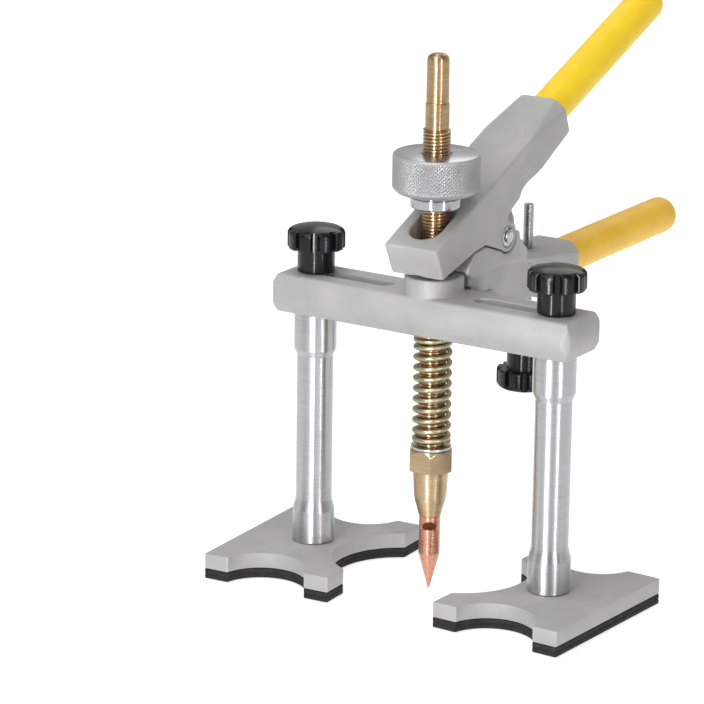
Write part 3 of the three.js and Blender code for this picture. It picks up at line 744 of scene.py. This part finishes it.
def hollow(a, b, depth, steps=36):
    """A circular hollow between two corners, deepest to the left of the way from a to b."""
    a, b = Vector(a), Vector(b)
    chord = (b - a).length
    radius = (chord * chord / 4 + depth * depth) / (2 * depth)
    along = (b - a) / chord
    left = Vector((-along.y, along.x))
    centre = (a + b) / 2 - left * (radius - depth)
    start = math.degrees(math.atan2(a.y - centre.y, a.x - centre.x))
    sweep = 2 * math.degrees(math.asin(chord / 2 / radius))
    return arc(centre.x, centre.y, radius, start, start - sweep, steps)


def foot_outline():
    """Outline of the right foot, with lightly rounded corners."""
    front, inner = -FOOT_FRONT, -FOOT_IN
    corner = 1.2

    def ease_ends(points):
        return [(*points[0], corner), *points[1:-1], (*points[-1], corner)]

    return eased([
        (FOOT_OUT, front, corner),
        (FOOT_OUT, FOOT_BACK, corner),
        *ease_ends(hollow((FOOT_OUT - HEEL, FOOT_BACK), (inner + TOE, FOOT_BACK), BACK_HOLLOW)),
        (inner, FOOT_BACK, corner),
        *ease_ends(hollow((inner, FOOT_BACK - INNER_TOE), (inner, front + INNER_TOE), INNER_HOLLOW)),
        (inner, front, corner),
        *ease_ends(hollow((inner + TOE, front), (FOOT_OUT - TOE, front), FRONT_HOLLOW)),
    ], closed=True)


def make_foot(side, label, x):
    outline = [(side * px, py) for px, py in foot_outline()]
    turn = Matrix.Rotation(-side * TOE_IN, 3, "Z")
    at = (x, ROD.y, 0)
    countersink = lathe([(0, 5), (8.4, 5), (8.4, 7.4), (4.4, 11.4), (4.4, 17), (0, 17)], 40)
    plate = drilled(prism(outline, edge_levels(PLATE_FOOT, PLATE_TOP, 0.65, 3)), countersink)
    finished(f"foot_plate_{label}_cast", placed(plate, turn, at), f"foot_{label}", [f"foot_plate_{label}"],
             CAST)
    levels = [(0.5, 0), (0.12, 0.15), (0, 0.5), (0, 2.5), (0.3, 2.7), (0.3, 3.1), (0, 3.3), (0, 5.3),
              (0.15, 5.65), (0.5, 5.8)]
    pad = drilled(prism(outline, levels), lathe([(0, -1), (10, -1), (10, 7), (0, 7)], 40))
    finished(f"foot_pad_{label}_rubber", placed(pad, turn, at), f"foot_{label}", [f"foot_pad_{label}"],
             RUBBER)


# ------------------------------------------------------------------ columns, screws and knobs


def hexagon(across, heights):
    """A warp that keeps a body inside a hexagon of a given corner radius, between two heights."""
    flat = across * math.cos(math.pi / 6)

    def warp(radius, height, angle):
        if not heights[0] <= height <= heights[1]:
            return radius
        lean = (angle + math.pi / 6) % (math.pi / 3) - math.pi / 6
        return min(radius, flat / math.cos(abs(lean) - math.pi / 6))

    return warp


COLUMN_RADIUS, COLLAR_RADIUS, STUD_HOLE = 10.75, 12.55, 4.3
COLUMN_FOOT, LOW_COLLAR_TOP, HIGH_COLLAR_FOOT, COLUMN_TOP = 15.7, 35.2, 135.2, 158.2
SCREW_HOLE_TOP = 42
KNOB_SEAT = 182.3  # underside of the clamp knobs' hubs


def make_column(label, x):
    profile = eased([
        (0, SCREW_HOLE_TOP), (STUD_HOLE, SCREW_HOLE_TOP), (STUD_HOLE, COLUMN_FOOT), (12.2, COLUMN_FOOT, 0.2),
        (COLLAR_RADIUS, 16.2, 0.2), (COLLAR_RADIUS, LOW_COLLAR_TOP, 0.7), (COLUMN_RADIUS, 42, 1.8),
        (COLUMN_RADIUS, 131.3, 0.6), (COLLAR_RADIUS, HIGH_COLLAR_FOOT, 0.6), (COLLAR_RADIUS, COLUMN_TOP, 0.4),
        (STUD_HOLE, COLUMN_TOP), (STUD_HOLE, HIGH_COLLAR_FOOT), (0, HIGH_COLLAR_FOOT),
    ], steps=6)
    finished(f"column_{label}_turned", placed(lathe(profile, 112), at=(x, ROD.y, 0)), f"leg_{label}",
             [f"column_{label}"], TURNED)
    stud = thread(4.0, 0.7, 1.25, 135.6, 200, 24)
    finished(f"clamp_stud_{label}_threaded", placed(stud, at=(x, ROD.y, 0)), f"leg_{label}",
             [f"clamp_stud_{label}"], STEEL)


LOBES = 9
FLUTE_FLOOR = 14.1  # radius at the bottom of the flutes


def star_warp(radius, height, angle):
    """Lobes round the star's rim, with eased flutes between them."""
    share = abs((angle * LOBES / TAU + 0.5) % 1 - 0.5)
    ease = min(1.0, max(0.0, (share - 0.27) / 0.1))
    flute = ease * ease * (3 - 2 * ease)
    return radius - flute * max(0.0, radius - FLUTE_FLOOR)


def star_knob(hole, depth):
    """A star knob standing on its hub, with a blind hole of a radius and depth."""
    profile = eased([
        (0, depth), (hole, depth), (hole, 0), (11.1, 0, 0.8), (11.1, 14.0, 0.5), (12.4, 14.0),
        (16.4, 14.0, 0.9), (17.0, 14.7, 0.8), (17.0, 23.6, 0.9), (16.1, 25.1, 0.7),
        (14.2, 26.05, 0.5), (11, 26.9, 2), (7, 27.6, 2), (0, 27.9),
    ], steps=5)
    return lathe(profile, LOBES * 30, warp=star_warp)


def make_clamp_knob(label, x):
    knob = star_knob(4.3, 19)
    finished(f"clamp_knob_{label}_moulded", placed(knob, at=(x, ROD.y, KNOB_SEAT)), f"knob_{label}",
             [f"clamp_knob_{label}"], KNOB, 50.0)


def cap_screw(seat):
    """A socket-head screw along Z with its head's underside at a height."""
    socket = hexagon(2.2, (seat + 2.3, seat + 9))
    head = lathe(eased([
        (0, seat + 2.4), (2.2, seat + 2.4), (2.2, seat + 4.5, 0.2), (2.5, seat + 4.8), (4.2, seat + 4.8, 0.5),
        (4.2, seat, 0.2), (2.5, seat), (2.5, 5), (0, 5),
    ], steps=3), 48, warp=lambda r, z, a: socket(r, z, a) if r <= 2.2 else r)
    return head


# ------------------------------------------------------------------ handles

# Each handle's socket face from the pivot (back, up), its tilt in degrees and the body that holds it.
UPPER = (68.0, 57.5, 21.0, "lever")
LOWER = (87.0, -35.5, 0.0, "frame")


def on_handle(bm, place):
    """Moves a body made about a handle's axis, with its socket's face at height 0, into place."""
    y, z, tilt, _ = place
    turn = Matrix.Rotation(math.radians(tilt - 90), 3, "X")
    return placed(bm, turn, (ROD.x, PIVOT.y + y, PIVOT.z + z))


def make_handle(label, place, yellow):
    body = place[3]
    grip = lathe(eased([
        (0, 137), (9.2, 137), (9.2, 0.6), (10.6, 0.6, 0.3), (11.5, 1.5, 0.8), (11.5, 4.2, 0.4),
        (11.25, 4.9, 0.4), (11.25, 7, 1.0), (11.46, 9.5, 1.2), (11.46, 60), (11.42, 110),
        *arc(3.45, 134.9, 8, 4, 90, 12), (0, 142.9),
    ], steps=4), 96)
    finished(f"{label}_grip_vinyl", on_handle(grip, place), body, [f"{label}_grip"], yellow)
    tube = lathe(eased([
        (7.4, -22), (9, -22, 0.4), (9, 136, 0.4), (7.4, 136)], closed=True), 72, closed=True)
    finished(f"{label}_handle_tube_steel", on_handle(tube, place), body, [f"{label}_handle_tube"],
             STEEL)


# ------------------------------------------------------------------ rod, chuck, tip, spring, collar and nut


def on_rod(bm):
    return placed(bm, at=(ROD.x, ROD.y, 0))


ROD_RADIUS, ROD_PITCH, ROD_THREAD_DEPTH = 8.0, 2.0, 1.05
ROD_BORE = 8.35  # radius of the rings that go round the rod
FLAT_FACING = math.radians(-20)
ROD_SHOULDER = ROD_END - 44.3
FLATS_TOP = ROD_SHOULDER + 15


def make_rod():
    bar = thread(ROD_RADIUS, ROD_THREAD_DEPTH, ROD_PITCH, 66, ROD_SHOULDER, 40)

    def flats(radius, height, angle):
        """Spanner flats across the foot of the smooth end."""
        if not ROD_SHOULDER + 0.1 < height < FLATS_TOP:
            return radius
        return min(radius, 6.25 / max(0.2, abs(math.cos(angle - FLAT_FACING))))

    stub = lathe(eased([
        (0, ROD_SHOULDER - 3), (6.9, ROD_SHOULDER - 3), (6.9, ROD_SHOULDER), (6.9, ROD_SHOULDER + 0.2),
        (6.9, ROD_SHOULDER + 14.9), (6.9, ROD_SHOULDER + 15.1), (6.45, ROD_SHOULDER + 15.6, 0.3),
        (6.45, ROD_END - 4.2, 1.4), (5.9, ROD_END - 1.8, 1.4), (3.6, ROD_END - 0.3, 1.4), (0, ROD_END),
    ], steps=5), 96, warp=flats)
    finished("pull_rod_threaded", on_rod(joined(bar, stub)), "pull_rod", ["pull_rod"], ROD_BRASS)


HEX_CORNER = 14.15


def make_chuck():
    """The tapered chuck with a chamfered hexagon at its top."""
    hexagonal = hexagon(HEX_CORNER, (74.2, 87.4))
    profile = [
        (8.2, 65), (8.2, 87.3), (11.7, 87.3), (12.2, 86.9), (12.8, 86.3), (13.4, 85.6), (13.9, 85.0),
        (HEX_CORNER, 84.3), (HEX_CORNER, 80), (HEX_CORNER, 75.6), (13.9, 75.0), (13.4, 74.6), (12.6, 74.35),
        (10.6, 74.3),
    ]
    barrel = eased([(10.4, 73.4, 0.8), (9.65, 58.3, 3), (8.9, 54.9, 1.5), (7.6, 50.3, 1.5), (6.6, 46.3, 0.5)],
                   steps=6)
    bore = [(4.2, 46.3), (4.2, 61), (0, 61)]
    body = lathe([(0, 65), *profile, *barrel, *bore], 120, warp=hexagonal)
    finished("chuck_brass", on_rod(body), "pull_rod", ["chuck"], CHUCK_BRASS)


def make_tip():
    """The turned tip with a D-shaped spanner notch on each side."""
    body = lathe(eased([
        (0, 0.6), (0.55, 0.75, 0.1), (3.5, 12.0), (6.25, 22.5, 1.0), (6.25, 30), (6.25, 46.0, 0.2), (4, 46.0),
        (4, 60), (0, 60),
    ], steps=4), 96)
    outline = [(-5.2, SHELF), (5.2, SHELF), *arc(0, SHELF + 0.2, 5.0, 0, 180, 20)]
    notches = []
    for facing in (math.radians(-60), math.radians(120)):
        out = Vector((math.cos(facing), math.sin(facing), 0))
        across = Vector((0, 0, 1)).cross(out)
        turn = Matrix((across, (0, 0, 1), out)).transposed()
        notches.append(placed(prism(outline, [(0, 3.9), (0, 9)]), turn))
    finished("copper_tip_turned", on_rod(drilled(body, *notches)), "pull_rod", ["copper_tip"],
             COPPER)


def make_spring():
    """A round wire coil whose end turns lie flat."""
    turns, radius, wire, foot, top = 11, 9.95, 1.55, 89.6, 156.4
    closed, end_rise = 1 / turns, 2 * wire + 0.2
    low, high = foot + wire, top - wire
    rise = high - low - 2 * end_rise
    per_turn, sides = 44, 14
    bm = bmesh.new()
    rings = []
    for i in range(turns * per_turn + 1):
        t = i / (turns * per_turn)
        z = low + end_rise + rise * (t - closed) / (1 - 2 * closed)
        if t < closed:
            z = low + end_rise * t / closed
        elif t > 1 - closed:
            z = high - end_rise * (1 - t) / closed
        a = TAU * turns * t
        outward = Vector((math.cos(a), math.sin(a), 0))
        centre = outward * radius + Vector((0, 0, z))
        ring = []
        for k in range(sides):
            b = TAU * k / sides
            around = outward * (wire * math.cos(b)) + Vector((0, 0, wire * math.sin(b)))
            ring.append(bm.verts.new(centre + around))
        rings.append(ring)
    for one, two in zip(rings, rings[1:]):
        for k in range(sides):
            n = (k + 1) % sides
            bm.faces.new((one[k], one[n], two[n], two[k]))
    bm.faces.new(rings[0][::-1])
    bm.faces.new(rings[-1])
    spring = finished("return_spring_wire", on_rod(bm), "pull_rod", ["return_spring"], SPRING)
    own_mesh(spring)


COLLAR_FOOT, COLLAR_TOP = 232.5, 241.2
NUT_FOOT, NUT_TOP = 241.5, 264.3
NUT_RADIUS = 25.4
KNURL_FOOT, KNURL_TOP, KNURL_ROWS, KNURL_DEPTH = 244.7, 262.9, 16, 0.45


def make_collar_and_nut():
    collar = lathe(eased([
        (ROD_BORE, COLLAR_FOOT, 0.3), (14.1, COLLAR_FOOT, 0.6), (14.9, 233.4, 0.5), (14.9, 238.6, 0.3),
        (14.3, 239.2, 0.3), (14.9, 239.8, 0.3), (14.9, COLLAR_TOP, 0.3), (ROD_BORE, COLLAR_TOP, 0.3),
    ], closed=True), 96, closed=True)
    finished("thrust_collar_polished", on_rod(collar), "thrust_collar", ["thrust_collar"],
             POLISHED)
    lower = [
        (ROD_BORE, 242.0), (9.0, NUT_FOOT), (22.0, NUT_FOOT), (22.5, 241.55), (23.1, 241.95), (24.7, 243.6),
        (25.05, 244.1),
    ]
    upper = [(25.0, 263.4), (24.6, 264.05), (24.0, NUT_TOP), (9.2, NUT_TOP), (ROD_BORE, 263.6)]
    rim = []
    for j in range(KNURL_ROWS + 1):
        rim.append((NUT_RADIUS, KNURL_FOOT + (KNURL_TOP - KNURL_FOOT) * j / KNURL_ROWS))
    first = len(lower)
    knurl = (first, first + KNURL_ROWS, KNURL_DEPTH)
    nut = lathe([*lower, *rim, *upper], 136, closed=True, knurl=knurl)
    finished("height_nut_knurled", on_rod(nut), "height_nut", ["height_nut"], KNURLED, 24.0)


def make_rod_fittings():
    washer = lathe(eased([
        (ROD_BORE, 87.6, 0.2), (11.9, 87.6, 0.5), (11.9, 89.3, 0.5), (ROD_BORE, 89.3, 0.2),
    ], closed=True), 72, closed=True)
    finished("spring_washer_ring", on_rod(washer), "pull_rod", ["spring_washer"], STEEL)
    bush = lathe(eased([
        (ROD_BORE, 156.7, 0.3), (13, 156.7, 0.5), (13, 158.2, 0.2), (9.9, 158.2), (9.9, BUSH_END, 0.4),
        (ROD_BORE, BUSH_END, 0.4),
    ], closed=True), 72, closed=True)
    finished("rod_bush_turned", on_rod(bush), "frame", ["rod_bush"], BRONZE)


# ------------------------------------------------------------------ pivot, arm screws and stop screw


def along_x(bm):
    """Stands a body made about Z along X through the pivot, its top towards +X."""
    return placed(bm, Matrix.Rotation(math.pi / 2, 3, "Y"), (ROD.x, PIVOT.y, PIVOT.z))


def make_pivot():
    pin = lathe(eased([
        (0, -18.4), (5.2, -18.4, 0.5), (6.2, -17.5, 0.5), (6.2, -15.8, 0.3), (4, -15.8), (4, 15.9), (3, 15.9),
        (3, 17.2), (4, 17.2, 0.2), (4, 18.3, 0.5), (3.2, 19, 0.5), (0, 19)]), 56)
    finished("pivot_pin_steel", along_x(pin), "frame", ["pivot_pin"], STEEL)
    outline = [*arc(0, 0, 6.1, 95, 400, 48), *arc(0, 0, 3.2, 400, 95, 40)]
    clip = prism(outline, edge_levels(16.1, 17.0, 0.2, 2))
    turn = Matrix.Rotation(math.pi / 2, 3, "Y") @ Matrix.Rotation(math.pi / 2, 3, "Z")
    finished("pivot_clip_spring", placed(clip, turn, (ROD.x, PIVOT.y, PIVOT.z)), "frame", ["pivot_clip"],
             STEEL)


GAP = 0.3
PAD_FACE = 21  # how far the beam's pad stands behind the rod's axis
FLANGE_THICK = 6
SCREW_SEAT = PAD_FACE + GAP + FLANGE_THICK + GAP


def make_arm_screws():
    for side, across in ((-1, "left"), (1, "right")):
        for row in ("low", "high"):
            node = f"arm_screw_{row}_{across}"
            here = middle(node)
            turn = Matrix.Rotation(-math.pi / 2, 3, "X")
            screw = placed(cap_screw(SCREW_SEAT), turn, (here.x, ROD.y, here.z))
            finished(f"{node}_capped", screw, "frame", [node], STEEL)


STOP_KNOB_SEAT = 124  # the stop knob hangs below this height


def make_stop():
    stud = thread(3.1, 0.5, 1.0, 105, STOP_END - 0.4, 24)
    end = lathe([
        (0, STOP_END - 1), (2.55, STOP_END - 1), (2.5, STOP_END - 0.3), (2.2, STOP_END), (0, STOP_END),
    ], 24)
    finished("stop_stud_threaded", placed(joined(stud, end), at=(STOP.x, STOP.y, 0)), "stop_stud",
             ["stop_stud"], STEEL)
    knob = placed(star_knob(3.4, 19.6), Matrix.Rotation(math.pi, 3, "X"), (STOP.x, STOP.y, STOP_KNOB_SEAT))
    finished("stop_knob_moulded", knob, "stop_knob", ["stop_knob"], KNOB, 50.0)


# ------------------------------------------------------------------ assembly

for sign, side_name in ((-1, "left"), (1, "right")):
    column_x = middle(f"column_{side_name}").x
    make_foot(sign, side_name, column_x)
    make_column(side_name, column_x)
    make_clamp_knob(side_name, column_x)

soft_casting("cross_beam_cast", "cross_beam", "frame", 0.55, 12, 0.35)
soft_casting("rear_arm_cast", "rear_arm", "frame", 0.5, 24, 0.35)
soft_casting("lever_cast", "lever", "lever", 0.5, 40, 0.35)
make_handle("upper", UPPER, UPPER_YELLOW)
make_handle("lower", LOWER, LOWER_YELLOW)
make_rod()
make_chuck()
make_tip()
make_spring()
make_collar_and_nut()
make_rod_fittings()
make_pivot()
make_arm_screws()
make_stop()

# CAD nodes that stay as they are and only get a material.
PLAIN = {
    "foot_screw_left": STEEL,
    "foot_screw_right": STEEL,
    "upper_grub_screw": STEEL,
    "lower_grub_screw": STEEL,
    "pivot_bush": BRONZE,
}
for kept_node, kept_look in PLAIN.items():
    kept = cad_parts[kept_node].data
    kept.materials.clear()
    kept.materials.append(kept_look)
